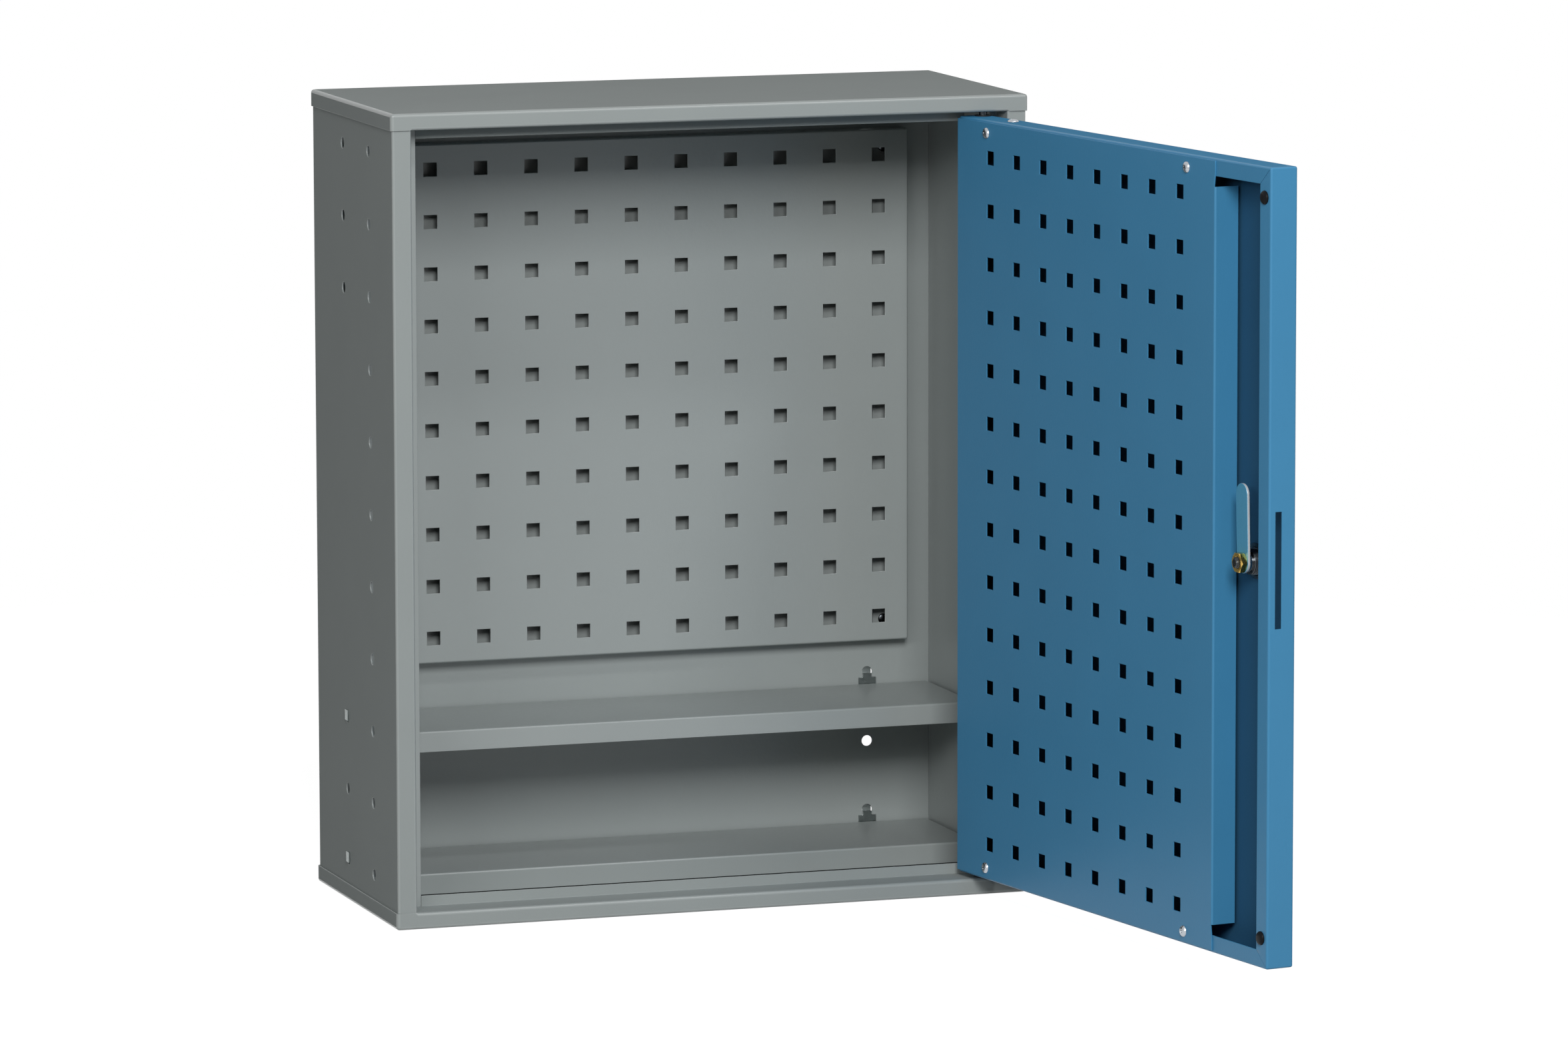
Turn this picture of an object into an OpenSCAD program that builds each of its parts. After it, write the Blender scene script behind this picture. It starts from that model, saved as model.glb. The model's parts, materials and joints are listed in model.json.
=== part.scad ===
// Wall tool cabinet: a folded steel body with a perforated back panel, two narrow shelves and one
// lockable pan door that swings on pins, with a perforated panel on its inner side.
// Millimetres, +Z up. The origin is the centre of the underside; the front faces -Y.
// The door and its lock are drawn shut and then swung open together.

/* [Body] */
// Width over the two side sheets
body_width = 470; // [420:1:600]
// Height over the two caps
body_height = 578; // [540:1:800]
// Depth from the jamb faces to the rear flanges
body_depth = 208; // [190:1:300]
// Thickness of every folded sheet
sheet = 1; // [0.8:0.1:1.2]
// Play between a cap and the sides it slips over
cap_play = 0.2; // [0.1:0.05:0.4]
// Height of the flanges round a cap
cap_flange = 12; // [11:0.5:14]
// Width of the jamb face beside the door
jamb_width = 14; // [12:0.5:16]
// Depth of the rebate that takes the door
rebate_depth = 23.5; // [23.3:0.1:26]
// Drop of the stop under the top cap
top_stop = 8; // [6:0.5:12]
// Rise of the stop over the bottom cap
sill_stop = 7.5; // [6:0.5:12]
// Width of the stop on the lock side
lock_side_stop = 9.5; // [8:0.5:12]
// Width of the stop on the hinge side
hinge_side_stop = 5; // [4:0.1:5.4]
// Clearance between the cap stops' ends and the door's corner as it turns
stop_clearance = 1; // [0.5:0.1:2]
// Width of the flanges behind the back wall
rear_flange = 15; // [10:0.5:25]

/* [Fixing holes] */
// Diameter of the holes in the sides and the back wall
hole_diameter = 8; // [7.5:0.1:8.5]
// Height of the lowest row of holes
row_start = 29.5; // [28:0.5:32]
// Distance between two rows of holes
row_pitch = 51.7; // [50:0.1:52]
// Front column of side holes, from the jamb face
front_column = 62; // [50:1:80]
// Rear column of side holes, from the jamb face
rear_column = 129; // [120:1:140]
// Columns of back wall holes, from the side faces
back_column = 49.5; // [49:0.5:60]

/* [Perforated panels] */
// Side of a square hole
square_hole = 10; // [8:0.5:12]
// Distance between two square holes
square_pitch = 38; // [34:1:40]
// Least distance from a panel's edge to a square hole's centre
square_margin = 15; // [12:0.5:18]
// Least distance from the side edges of the door's panel to a square hole's centre
door_panel_margin = 40; // [30:1:45]
// Gap between the back panel and each side sheet
back_panel_gap = 21; // [15:0.5:22]
// Height of the lower edge of the back panel
back_panel_foot = 158.2; // [150:0.1:180]
// Gap between the top of the body and the back panel
back_panel_head = 40.8; // [36:0.1:60]
// Depth of the back panel, face to wall
back_panel_depth = 14; // [10:0.5:18]
// Width of the back panel's feet on the wall
panel_foot_width = 22; // [20:0.5:23]
// Rivets in the back panel's feet, from its side edges
rivet_inset = 15; // [10:0.5:18]
// Rivets in the back panel's feet, from its lower and upper edges
rivet_rise = 14; // [8:0.5:20]
// Diameter of a rivet's shank
rivet_diameter = 4; // [3:0.1:5]
// Diameter of a rivet's head
rivet_head = 8; // [6:0.1:9]
// Thickness of a rivet's head
rivet_head_height = 1.1; // [0.8:0.1:1.1]

/* [Shelves] */
// Depth of a shelf
shelf_depth = 105; // [95:1:120]
// Gap between a shelf and the walls round it
shelf_gap = 1.5; // [1.2:0.1:2]
// Height of a shelf's flanges
shelf_flange = 15; // [12:0.5:16]
// Drop from the centre of a hole to the shelf that hangs there
shelf_drop = 8.7; // [7:0.1:9.5]
// Row of holes that carries the upper shelf, counted from the lowest
upper_row = 2; // [2:1:2]
// Width of a clip
clip_width = 13.5; // [10:0.5:18]
// Width of the tongue of a clip
tongue_width = 6.8; // [5:0.1:7]
// Rise of a clip's hook behind the wall, from the centre of its hole
hook_rise = 5.5; // [4:0.5:8]
// Reach of a clip under the shelf's flange
clip_reach = 6; // [4:0.5:8]

/* [Door] */
// Gap between the door and the lock side jamb
lock_side_gap = 3; // [2:0.5:4]
// Gap between the door and the hinge side jamb
hinge_side_gap = 6; // [5.5:0.1:7]
// Gap above and below the door
end_gap = 3.5; // [3:0.1:4.5]
// Thickness of the door, with its inner panel
door_thickness = 22; // [20:0.1:22.5]
// Width of the door's lip on the lock side
lock_side_lip = 14; // [12:0.5:18]
// Width of the door's lip on the hinge side
hinge_side_lip = 15; // [12:0.5:20]
// Width of the door's lips at the top and the bottom
end_lip = 12; // [11:0.5:16]
// Width of the seam in a lip's corner
corner_seam = 0.3; // [0.2:0.05:0.6]
// Width of the panel inside the door
door_panel_width = 361; // [320:1:365]
// Inset of the door's panel from the top and bottom edges
door_panel_inset = 1.5; // [1:0.1:2]
// Depth of the panel's folded edge
panel_fold = 18.5; // [12:0.5:19]
// Inset of the folded edge from the panel's ends
panel_fold_inset = 17.8; // [15:0.1:30]
// Angle at which the door stands open
door_angle = 99.3; // [90:0.1:110]

/* [Hinge] */
// Pivot from the door's hinge edge
pivot_inset = 10; // [9.5:0.1:11]
// Pivot from the door's front face
pivot_depth = 7; // [6.8:0.1:8]
// Diameter of a hinge pin
pin_diameter = 6; // [5:0.1:7]
// Radial play between a pin and its bush
pin_play = 0.05; // [0.03:0.01:0.08]
// Diameter of a pin's head
pin_head = 12; // [10:0.5:13]
// Height of a pin's head
pin_head_height = 2; // [1:0.1:4]
// Length of a bush
bush_length = 7; // [5:0.5:12]
// Wall of a bush
bush_wall = 1.5; // [1:0.1:2]
// Diameter of a bush's collar
bush_collar = 12; // [10.5:0.1:12.5]
// Thickness of a bush's collar
bush_collar_height = 0.8; // [0.6:0.1:1]
// Gap between the thrust washer and the lower bush
washer_clearance = 0.3; // [0.3:0.05:0.5]
// Length of a strap inside the door
strap_length = 75; // [70:1:100]
// Width of a strap
strap_width = 16; // [14:0.5:18]
// Thickness of a strap
strap_thickness = 2; // [1.5:0.1:3]
// Strap screw from the door's hinge edge
strap_screw_reach = 61; // [45:1:66]
// Strap screw from the door's front face
strap_screw_depth = 11; // [8:0.5:12]

/* [Small parts] */
// Diameter of the screws
screw_diameter = 4; // [3.5:0.1:5]
// Diameter of a screw's head
screw_head = 8; // [7:0.1:9]
// Height of a screw's head
screw_head_height = 2; // [1.5:0.1:2.2]
// Diameter of the flat on top of a screw's head
screw_head_flat = 5.6; // [4:0.1:6.8]
// Length of a screw's shank
screw_length = 8; // [6:0.5:12]
// Radial play round a screw, rivet or stem
screw_play = 0.05; // [0.03:0.01:0.1]
// Inner panel screws, from the door's hinge edge
panel_screw_near = 42; // [38:0.5:46]
// Inner panel screws, from the panel's folded edge
panel_screw_far = 38; // [34:0.5:42]
// Panel screws from the panel's top and bottom edges
panel_screw_rise = 7.5; // [6:0.1:8]
// Diameter of a rubber buffer
buffer_diameter = 9.5; // [8:0.1:11]
// Height of a rubber buffer over the lip
buffer_height = 2.2; // [1:0.1:2.2]
// Diameter of a buffer's stem
buffer_stem = 4; // [3:0.1:5]
// Buffer centre from the door's lock side edge
buffer_inset = 7.8; // [7:0.1:8.5]
// Buffer centre from the door's top and bottom edges
buffer_rise = 20.8; // [18:0.1:30]

/* [Lock] */
// Lock axis from the door's lock side edge
lock_inset = 46; // [42:0.5:47]
// Diameter of the lock's barrel
barrel_diameter = 19; // [17:0.5:22]
// Diameter of the lock's collar
collar_diameter = 22.5; // [22:0.5:24]
// Height of the lock's collar over the door face
collar_height = 2.8; // [1.5:0.1:4]
// Length of the barrel behind the door face
barrel_length = 9.4; // [8:0.1:10]
// Diameter of the plug
plug_diameter = 13; // [11:0.5:15]
// Radial play between plug and barrel
plug_play = 0.05; // [0.03:0.01:0.08]
// Depth of the cam's mid plane behind the door face
cam_depth = 13.4; // [13:0.1:14]
// Thickness of the cam
cam_thickness = 2; // [1.5:0.1:2.5]
// Width of the cam
cam_width = 15; // [12:0.5:16]
// Reach of the cam, axis to tip
cam_reach = 54; // [50:0.5:56]
// Lean of the resting cam towards the hinge
cam_lean = 2; // [0:0.5:5]
// Diameter of the threaded stud
stud_diameter = 8; // [6:0.5:9]
// Diameter of the stop washer
stop_diameter = 14; // [13:0.5:15]
// Thickness of the stop washer
stop_thickness = 2; // [1:0.1:2.2]
// Width across flats of the brass nut
nut_flats = 13; // [12:0.5:14]
// Height of the brass nut
nut_height = 4.5; // [3:0.5:4.5]
// Stud end proud of the nut
stud_end = 2; // [0.5:0.1:2]
// Width across flats of the nut on the barrel
ring_nut_flats = 24; // [23:0.5:27]
// Thickness of the nut on the barrel
ring_nut_height = 3; // [2:0.1:4]
// Width of the keyway
keyway_width = 1.8; // [1:0.1:2.5]
// Height of the keyway
keyway_height = 8; // [6:0.5:9]
// Depth of the keyway
keyway_depth = 6; // [3:0.5:7]
// Width of the slot in the door's edge
edge_slot_width = 5; // [4:0.5:6]
// Height of the slot in the door's edge
edge_slot_height = 80; // [76:1:86]
// Width of the slot in the jamb
jamb_slot_width = 8; // [6:0.5:10]
// Height of the slot in the jamb
jamb_slot_height = 90; // [80:1:110]

/* [Hidden] */
$fn = 64;

// Overlap of a cutter past the face it opens
cut = 1;
body_grey = "#a3a8a8";
door_blue = "#3f7499";
zinc = "#c9ccd0";
brass_gold = "#c8a048";

left = -body_width / 2;
right = body_width / 2;
front = -body_depth / 2;
back = body_depth / 2;
cap_over = cap_play + sheet;
side_foot = sheet;
side_head = body_height - sheet;
stop_face = front + rebate_depth;
lock_jamb_edge = left + jamb_width;
hinge_jamb_edge = right - jamb_width;

wall_face = back - 2 * sheet;
row_count = floor((body_height - 2 * row_start) / row_pitch) + 1;
// The rear column and the back wall have only the three lowest and the three highest rows
end_rows = [0, 1, 2, row_count - 3, row_count - 2, row_count - 1];

back_panel_left = left + sheet + back_panel_gap;
back_panel_right = right - sheet - back_panel_gap;
back_panel_top = body_height - back_panel_head;
back_panel_face = wall_face - back_panel_depth;

shelf_back = wall_face - shelf_gap;
shelf_front = shelf_back - shelf_depth;
shelf_left = left + sheet + shelf_gap;
shelf_right = right - sheet - shelf_gap;
upper_hole = row_start + upper_row * row_pitch;
lower_hole = row_start;
tongue_seat = sqrt(pow(hole_diameter / 2, 2) - pow(tongue_width / 2, 2));

door_left = lock_jamb_edge + lock_side_gap;
door_right = hinge_jamb_edge - hinge_side_gap;
door_foot = cap_flange + end_gap;
door_head = body_height - cap_flange - end_gap;
door_middle = (door_foot + door_head) / 2;
lip_face = front + door_thickness - sheet;
door_panel_left = door_right - door_panel_width;
door_panel_foot = door_foot + door_panel_inset;
door_panel_head = door_head - door_panel_inset;

pivot_x = door_right - pivot_inset;
pivot_y = front + pivot_depth;
// The cap stops end short of the circle that the door's inner corner turns in
corner_swing = norm([pivot_inset, door_thickness - pivot_depth]);
stop_end = pivot_x - stop_clearance
  - sqrt(max(0, pow(corner_swing, 2) - pow(stop_face - pivot_y, 2)));
bush_bore = pin_diameter + 2 * pin_play;
bush_outer = bush_bore + 2 * bush_wall;
strap_left = door_right - sheet - strap_length;
strap_screw_x = door_right - strap_screw_reach;
strap_screw_y = front + strap_screw_depth;

panel_screw_xs = [door_right - panel_screw_near, door_panel_left + panel_screw_far];
panel_screw_zs = [door_panel_foot + panel_screw_rise, door_panel_head - panel_screw_rise];
buffer_x = door_left + buffer_inset;
buffer_zs = [door_foot + buffer_rise, door_head - buffer_rise];

lock_x = door_left + lock_inset;
cam_front = front + cam_depth - cam_thickness / 2;
cam_back = cam_front + cam_thickness;
stop_front = cam_front - stop_thickness;
stud_tip = cam_back + nut_height + stud_end;

// A block between two opposite corners
module block(x0, x1, y0, y1, z0, z1) {
  translate([x0, y0, z0]) cube([x1 - x0, y1 - y0, z1 - z0]);
}

// A round bar along X, Y or Z between two stations
module bar_x(d, x0, x1, y, z) {
  translate([x0, y, z]) rotate([0, 90, 0]) cylinder(d = d, h = x1 - x0);
}
module bar_y(d, y0, y1, x, z) {
  translate([x, y0, z]) rotate([-90, 0, 0]) cylinder(d = d, h = y1 - y0);
}
module bar_z(d, z0, z1, x, y) {
  translate([x, y, z0]) cylinder(d = d, h = z1 - z0);
}

// A hexagonal bar along Y with corners to the sides
module hex_y(flats, y0, y1, x, z) {
  translate([x, y0, z]) rotate([-90, 0, 0]) cylinder(d = flats / cos(30), h = y1 - y0, $fn = 6);
}

// Square holes filling a sheet that lies across Y, centred between its edges
module square_holes(x0, x1, z0, z1, y0, y1, side_margin) {
  columns = floor((x1 - x0 - 2 * side_margin) / square_pitch) + 1;
  rows = floor((z1 - z0 - 2 * square_margin) / square_pitch) + 1;
  first_x = (x0 + x1 - (columns - 1) * square_pitch) / 2;
  first_z = (z0 + z1 - (rows - 1) * square_pitch) / 2;
  for (i = [0 : columns - 1], k = [0 : rows - 1])
    translate([first_x + i * square_pitch, (y0 + y1) / 2, first_z + k * square_pitch])
      cube([square_hole, y1 - y0, square_hole], center = true);
}

// The body mirrored onto its upper half
module upside_down() {
  translate([0, 0, body_height]) mirror([0, 0, 1]) children();
}

// The shut door and its lock swung to where they stand
module swung() {
  translate([pivot_x, pivot_y, 0]) rotate([0, 0, door_angle])
    translate([-pivot_x, -pivot_y, 0]) children();
}

// A side sheet with its jamb, stop and rear flange, drawn on the left
module side_sheet(stop_width) {
  difference() {
    union() {
      block(left, left + sheet, front, back, side_foot, side_head);
      block(left, lock_jamb_edge, front, front + sheet, side_foot, side_head);
      block(lock_jamb_edge - sheet, lock_jamb_edge, front, stop_face + sheet, side_foot, side_head);
      block(lock_jamb_edge - sheet, lock_jamb_edge + stop_width, stop_face, stop_face + sheet,
            side_foot, side_head);
      block(left, left + rear_flange, back - sheet, back, side_foot, side_head);
    }
    for (i = [0 : row_count - 1])
      bar_x(hole_diameter, left - cut, left + sheet + cut, front + front_column,
            row_start + i * row_pitch);
    for (i = end_rows)
      bar_x(hole_diameter, left - cut, left + sheet + cut, front + rear_column,
            row_start + i * row_pitch);
  }
}

module left_side() {
  color(body_grey) difference() {
    side_sheet(lock_side_stop);
    block(lock_jamb_edge - sheet - cut, lock_jamb_edge + cut,
          front + cam_depth - jamb_slot_width / 2, front + cam_depth + jamb_slot_width / 2,
          door_middle - jamb_slot_height / 2, door_middle + jamb_slot_height / 2);
  }
}

module right_side() {
  color(body_grey) mirror([1, 0, 0]) side_sheet(hinge_side_stop);
}

// Centres of the four rivets
module at_rivets() {
  for (x = [back_panel_left + rivet_inset, back_panel_right - rivet_inset],
       z = [back_panel_foot + rivet_rise, back_panel_top - rivet_rise])
    translate([x, 0, z]) children();
}

module back_wall() {
  color(body_grey) difference() {
    block(left + sheet, right - sheet, wall_face, wall_face + sheet, side_foot, side_head);
    for (x = [left + back_column, right - back_column], i = end_rows)
      bar_y(hole_diameter, wall_face - cut, wall_face + sheet + cut, x, row_start + i * row_pitch);
    at_rivets() bar_y(rivet_diameter + 2 * screw_play, wall_face - cut, wall_face + sheet + cut, 0, 0);
  }
}

// A cap with its flanges, the ledge behind the front flange and the door stop, drawn at the bottom
module cap(stop_height) {
  color(body_grey) difference() {
    union() {
      difference() {
        block(left - cap_over, right + cap_over, front - cap_over, back + cap_over, 0, cap_flange);
        block(left - cap_play, right + cap_play, front - cap_play, back + cap_play,
              sheet, cap_flange + cut);
      }
      block(lock_jamb_edge + cap_play, hinge_jamb_edge - cap_play,
            front - cap_over, stop_face - cap_play, cap_flange - sheet, cap_flange);
      block(lock_jamb_edge + lock_side_stop + cap_play, hinge_jamb_edge - hinge_side_stop - cap_play,
            stop_face - cap_play, stop_face + sheet, cap_flange - sheet, cap_flange);
      block(lock_jamb_edge + lock_side_stop + cap_play, stop_end,
            stop_face, stop_face + sheet, cap_flange - sheet, cap_flange + stop_height);
    }
    bar_z(bush_bore, cap_flange - sheet - cut, cap_flange + cut, pivot_x, pivot_y);
  }
}

module top_cap() { upside_down() cap(top_stop); }
module bottom_cap() { cap(sill_stop); }

// A perforated pan on the back wall, with feet along both sides
module back_panel() {
  color(body_grey) difference() {
    block(back_panel_left, back_panel_right, back_panel_face, wall_face,
          back_panel_foot, back_panel_top);
    block(back_panel_left + sheet, back_panel_right - sheet,
          back_panel_face + sheet, wall_face - sheet,
          back_panel_foot + sheet, back_panel_top - sheet);
    block(back_panel_left + sheet + panel_foot_width, back_panel_right - sheet - panel_foot_width,
          back_panel_face + sheet, wall_face + cut,
          back_panel_foot + sheet, back_panel_top - sheet);
    square_holes(back_panel_left, back_panel_right, back_panel_foot, back_panel_top,
                 back_panel_face - cut, back_panel_face + sheet + cut, square_margin);
    at_rivets() bar_y(rivet_diameter + 2 * screw_play, wall_face - sheet - cut, wall_face + cut, 0, 0);
  }
}

module back_panel_rivets() {
  color(zinc) at_rivets() {
    bar_y(rivet_diameter, wall_face - sheet - rivet_head_height,
          wall_face + sheet + rivet_head_height, 0, 0);
    bar_y(rivet_head, wall_face - sheet - rivet_head_height, wall_face - sheet, 0, 0);
    bar_y(rivet_head, wall_face + sheet, wall_face + sheet + rivet_head_height, 0, 0);
  }
}

// A tray turned over, with flanges all round, hung below a row of holes
module shelf(hole_height) {
  top = hole_height - shelf_drop;
  color(body_grey) difference() {
    block(shelf_left, shelf_right, shelf_front, shelf_back, top - shelf_flange, top);
    block(shelf_left + sheet, shelf_right - sheet, shelf_front + sheet, shelf_back - sheet,
          top - shelf_flange - cut, top - sheet);
  }
}

module upper_shelf() { shelf(upper_hole); }
module lower_shelf() { shelf(lower_hole); }

// A clip on a wall that lies across Y at 0 with its hole at the origin: the plate lies on the wall,
// the tongue above it goes through the hole and turns up, the foot reaches under the shelf
module clip() {
  foot = -shelf_drop - shelf_flange - sheet;
  shoulder = -hole_diameter / 2;
  tongue_top = -tongue_seat + sheet;
  block(-clip_width / 2, clip_width / 2, -sheet, 0, foot, shoulder);
  block(-clip_width / 2, clip_width / 2, -clip_reach, 0, foot, foot + sheet);
  block(-tongue_width / 2, tongue_width / 2, -sheet, 0, shoulder - sheet, tongue_top);
  block(-tongue_width / 2, tongue_width / 2, -sheet, 2 * sheet, -tongue_seat, tongue_top);
  block(-tongue_width / 2, tongue_width / 2, sheet, 2 * sheet, -tongue_seat, hook_rise);
}

// The four clips of a shelf: two on the back wall and one on each side
module shelf_clips(hole_height) {
  color(zinc) {
    for (x = [left + back_column, right - back_column])
      translate([x, wall_face, hole_height]) clip();
    translate([left + sheet, front + rear_column, hole_height]) rotate([0, 0, 90]) clip();
    translate([right - sheet, front + rear_column, hole_height]) rotate([0, 0, -90]) clip();
  }
}

module upper_shelf_clips() { shelf_clips(upper_hole); }
module lower_shelf_clips() { shelf_clips(lower_hole); }

// A pin with its head behind the cap's ledge and its shank in the door's bush, drawn at the bottom
module hinge_pin() {
  color(zinc) {
    bar_z(pin_diameter, cap_flange - sheet, door_foot + bush_length, pivot_x, pivot_y);
    bar_z(pin_head, cap_flange - sheet - pin_head_height, cap_flange - sheet, pivot_x, pivot_y);
  }
}

module top_hinge_pin() { upside_down() hinge_pin(); }
module bottom_hinge_pin() { hinge_pin(); }

// The washer that the door's lower bush runs on
module thrust_washer() {
  washer_top = door_foot - bush_collar_height - washer_clearance;
  color("ivory") difference() {
    bar_z(bush_collar, cap_flange, washer_top, pivot_x, pivot_y);
    bar_z(bush_bore, cap_flange - cut, washer_top + cut, pivot_x, pivot_y);
  }
}

// The hole that a bush fills in the door's end and in its strap
module bush_hole(z0, z1) {
  bar_z(bush_outer + 2 * screw_play, z0, z1, pivot_x, pivot_y);
}

// The seam across the corner of the lips, drawn at the lower lock side corner
module lip_seam() {
  translate([door_left + sheet, lip_face - sheet - cut / 2, door_foot + sheet])
    rotate([0, -atan2(end_lip - sheet, lock_side_lip - sheet), 0])
      translate([0, 0, -corner_seam / 2])
        cube([norm([end_lip, lock_side_lip]), sheet + cut, corner_seam]);
}

// The door's outer pan with lips folded in all round
module door_shell() {
  color(door_blue) swung() difference() {
    block(door_left, door_right, front, lip_face, door_foot, door_head);
    block(door_left + sheet, door_right - sheet, front + sheet, lip_face - sheet,
          door_foot + sheet, door_head - sheet);
    block(door_left + lock_side_lip, door_right - hinge_side_lip,
          lip_face - sheet - cut, lip_face + cut, door_foot + end_lip, door_head - end_lip);
    lip_seam();
    upside_down() lip_seam();
    bush_hole(door_foot - cut, door_foot + sheet + cut / 2);
    bush_hole(door_head - sheet - cut / 2, door_head + cut);
    for (z = [door_foot + sheet / 2, door_head - sheet / 2])
      bar_z(screw_diameter + 2 * screw_play, z - cut, z + cut, strap_screw_x, strap_screw_y);
    for (x = panel_screw_xs, z = panel_screw_zs)
      bar_y(screw_diameter + 2 * screw_play, lip_face - sheet - cut, lip_face + cut, x, z);
    for (z = buffer_zs)
      bar_y(buffer_stem + 2 * screw_play, lip_face - sheet - cut, lip_face + cut, buffer_x, z);
    bar_y(barrel_diameter + 2 * plug_play, front - cut, front + sheet + cut, lock_x, door_middle);
    block(door_left - cut, door_left + sheet + cut,
          front + cam_depth - edge_slot_width / 2, front + cam_depth + edge_slot_width / 2,
          door_middle - edge_slot_height / 2, door_middle + edge_slot_height / 2);
  }
}

// The perforated sheet on the lips, with its free side folded back into the door
module door_panel() {
  color(door_blue) swung() difference() {
    union() {
      block(door_panel_left, door_right, lip_face, lip_face + sheet,
            door_panel_foot, door_panel_head);
      block(door_panel_left, door_panel_left + sheet, lip_face + sheet - panel_fold, lip_face + sheet,
            door_panel_foot + panel_fold_inset, door_panel_head - panel_fold_inset);
    }
    square_holes(door_panel_left, door_right, door_panel_foot, door_panel_head,
                 lip_face - cut / 2, lip_face + sheet + cut, door_panel_margin);
    for (x = panel_screw_xs, z = panel_screw_zs)
      bar_y(screw_diameter + 2 * screw_play, lip_face - cut, lip_face + sheet + cut, x, z);
  }
}

// A pan head screw along Z, its head resting on the level 0 and its shank below
module screw() {
  translate([0, 0, -screw_length]) cylinder(d = screw_diameter, h = screw_length);
  cylinder(d1 = screw_head, d2 = screw_head_flat, h = screw_head_height);
}

module door_panel_screws() {
  color(zinc) swung() for (x = panel_screw_xs, z = panel_screw_zs)
    translate([x, lip_face + sheet, z]) rotate([-90, 0, 0]) screw();
}

// Rubber buffers that meet the stop when the door shuts
module door_buffers() {
  color("#202020") swung() for (z = buffer_zs) {
    bar_y(buffer_diameter, lip_face, lip_face + buffer_height, buffer_x, z);
    bar_y(buffer_stem, lip_face - 2 * sheet, lip_face, buffer_x, z);
  }
}

// A strap that stiffens the door's end round the bush, drawn at the bottom
module hinge_strap() {
  color(zinc) swung() difference() {
    block(strap_left, door_right - sheet, front + sheet, front + sheet + strap_width,
          door_foot + sheet, door_foot + sheet + strap_thickness);
    bush_hole(door_foot, door_foot + sheet + strap_thickness + cut);
    bar_z(screw_diameter + 2 * screw_play, door_foot, door_foot + sheet + strap_thickness + cut,
          strap_screw_x, strap_screw_y);
  }
}

module top_hinge_strap() { upside_down() hinge_strap(); }
module bottom_hinge_strap() { hinge_strap(); }

// A collared bush in the door's end, drawn at the bottom
module hinge_bush() {
  color("ivory") difference() {
    union() {
      bar_z(bush_outer, door_foot, door_foot + bush_length, pivot_x, pivot_y);
      bar_z(bush_collar, door_foot - bush_collar_height, door_foot, pivot_x, pivot_y);
    }
    bar_z(bush_bore, door_foot - bush_collar_height - cut, door_foot + bush_length + cut,
          pivot_x, pivot_y);
  }
}

module top_hinge_bush() { upside_down() hinge_bush(); }
module bottom_hinge_bush() { hinge_bush(); }

module strap_screws() {
  color(zinc) swung() {
    translate([strap_screw_x, strap_screw_y, door_head]) screw();
    translate([strap_screw_x, strap_screw_y, door_foot]) mirror([0, 0, 1]) screw();
  }
}

// The lock's fixed barrel with a collar on the door face
module lock_barrel() {
  color(zinc) swung() difference() {
    union() {
      bar_y(collar_diameter, front - collar_height, front, lock_x, door_middle);
      bar_y(barrel_diameter, front, front + barrel_length, lock_x, door_middle);
    }
    bar_y(plug_diameter + 2 * plug_play, front - collar_height - cut, front + barrel_length + cut,
          lock_x, door_middle);
  }
}

// The nut that clamps the barrel to the door's sheet
module lock_ring_nut() {
  color(zinc) swung() difference() {
    hex_y(ring_nut_flats, front + sheet, front + sheet + ring_nut_height, lock_x, door_middle);
    bar_y(barrel_diameter + 2 * plug_play, front, front + sheet + ring_nut_height + cut,
          lock_x, door_middle);
  }
}

// The plug that the key turns, with the stud behind it
module lock_plug() {
  color(zinc) swung() difference() {
    union() {
      bar_y(plug_diameter, front - collar_height, stop_front, lock_x, door_middle);
      bar_y(stud_diameter, stop_front, stud_tip, lock_x, door_middle);
    }
    translate([lock_x, front - collar_height + keyway_depth / 2, door_middle])
      cube([keyway_width, keyway_depth, keyway_height], center = true);
  }
}

module lock_stop_washer() {
  color(zinc) swung() difference() {
    bar_y(stop_diameter, stop_front, cam_front, lock_x, door_middle);
    bar_y(stud_diameter + 2 * plug_play, stop_front - cut, cam_front + cut, lock_x, door_middle);
  }
}

// The bolt that turns out through the door's edge, pointing up while the door is unlocked
module lock_cam() {
  tip_centre = cam_reach - cam_width / 2;
  color(zinc) swung() translate([lock_x, cam_front, door_middle]) rotate([0, cam_lean, 0])
    difference() {
      union() {
        bar_y(cam_width, 0, cam_thickness, 0, 0);
        bar_y(cam_width, 0, cam_thickness, 0, tip_centre);
        block(-cam_width / 2, cam_width / 2, 0, cam_thickness, 0, tip_centre);
      }
      bar_y(stud_diameter + 2 * plug_play, -cut, cam_thickness + cut, 0, 0);
    }
}

module lock_cam_nut() {
  color(brass_gold) swung() difference() {
    hex_y(nut_flats, cam_back, cam_back + nut_height, lock_x, door_middle);
    bar_y(stud_diameter + 2 * plug_play, cam_back - cut, cam_back + nut_height + cut,
          lock_x, door_middle);
  }
}

left_side();
right_side();
back_wall();
top_cap();
bottom_cap();
back_panel();
back_panel_rivets();
upper_shelf();
lower_shelf();
upper_shelf_clips();
lower_shelf_clips();
top_hinge_pin();
bottom_hinge_pin();
thrust_washer();
door_shell();
door_panel();
door_panel_screws();
door_buffers();
top_hinge_strap();
bottom_hinge_strap();
top_hinge_bush();
bottom_hinge_bush();
strap_screws();
lock_barrel();
lock_ring_nut();
lock_plug();
lock_stop_washer();
lock_cam();
lock_cam_nut();
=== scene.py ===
import json
import math

import bmesh
import bpy
from mathutils import Matrix, Vector


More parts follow.
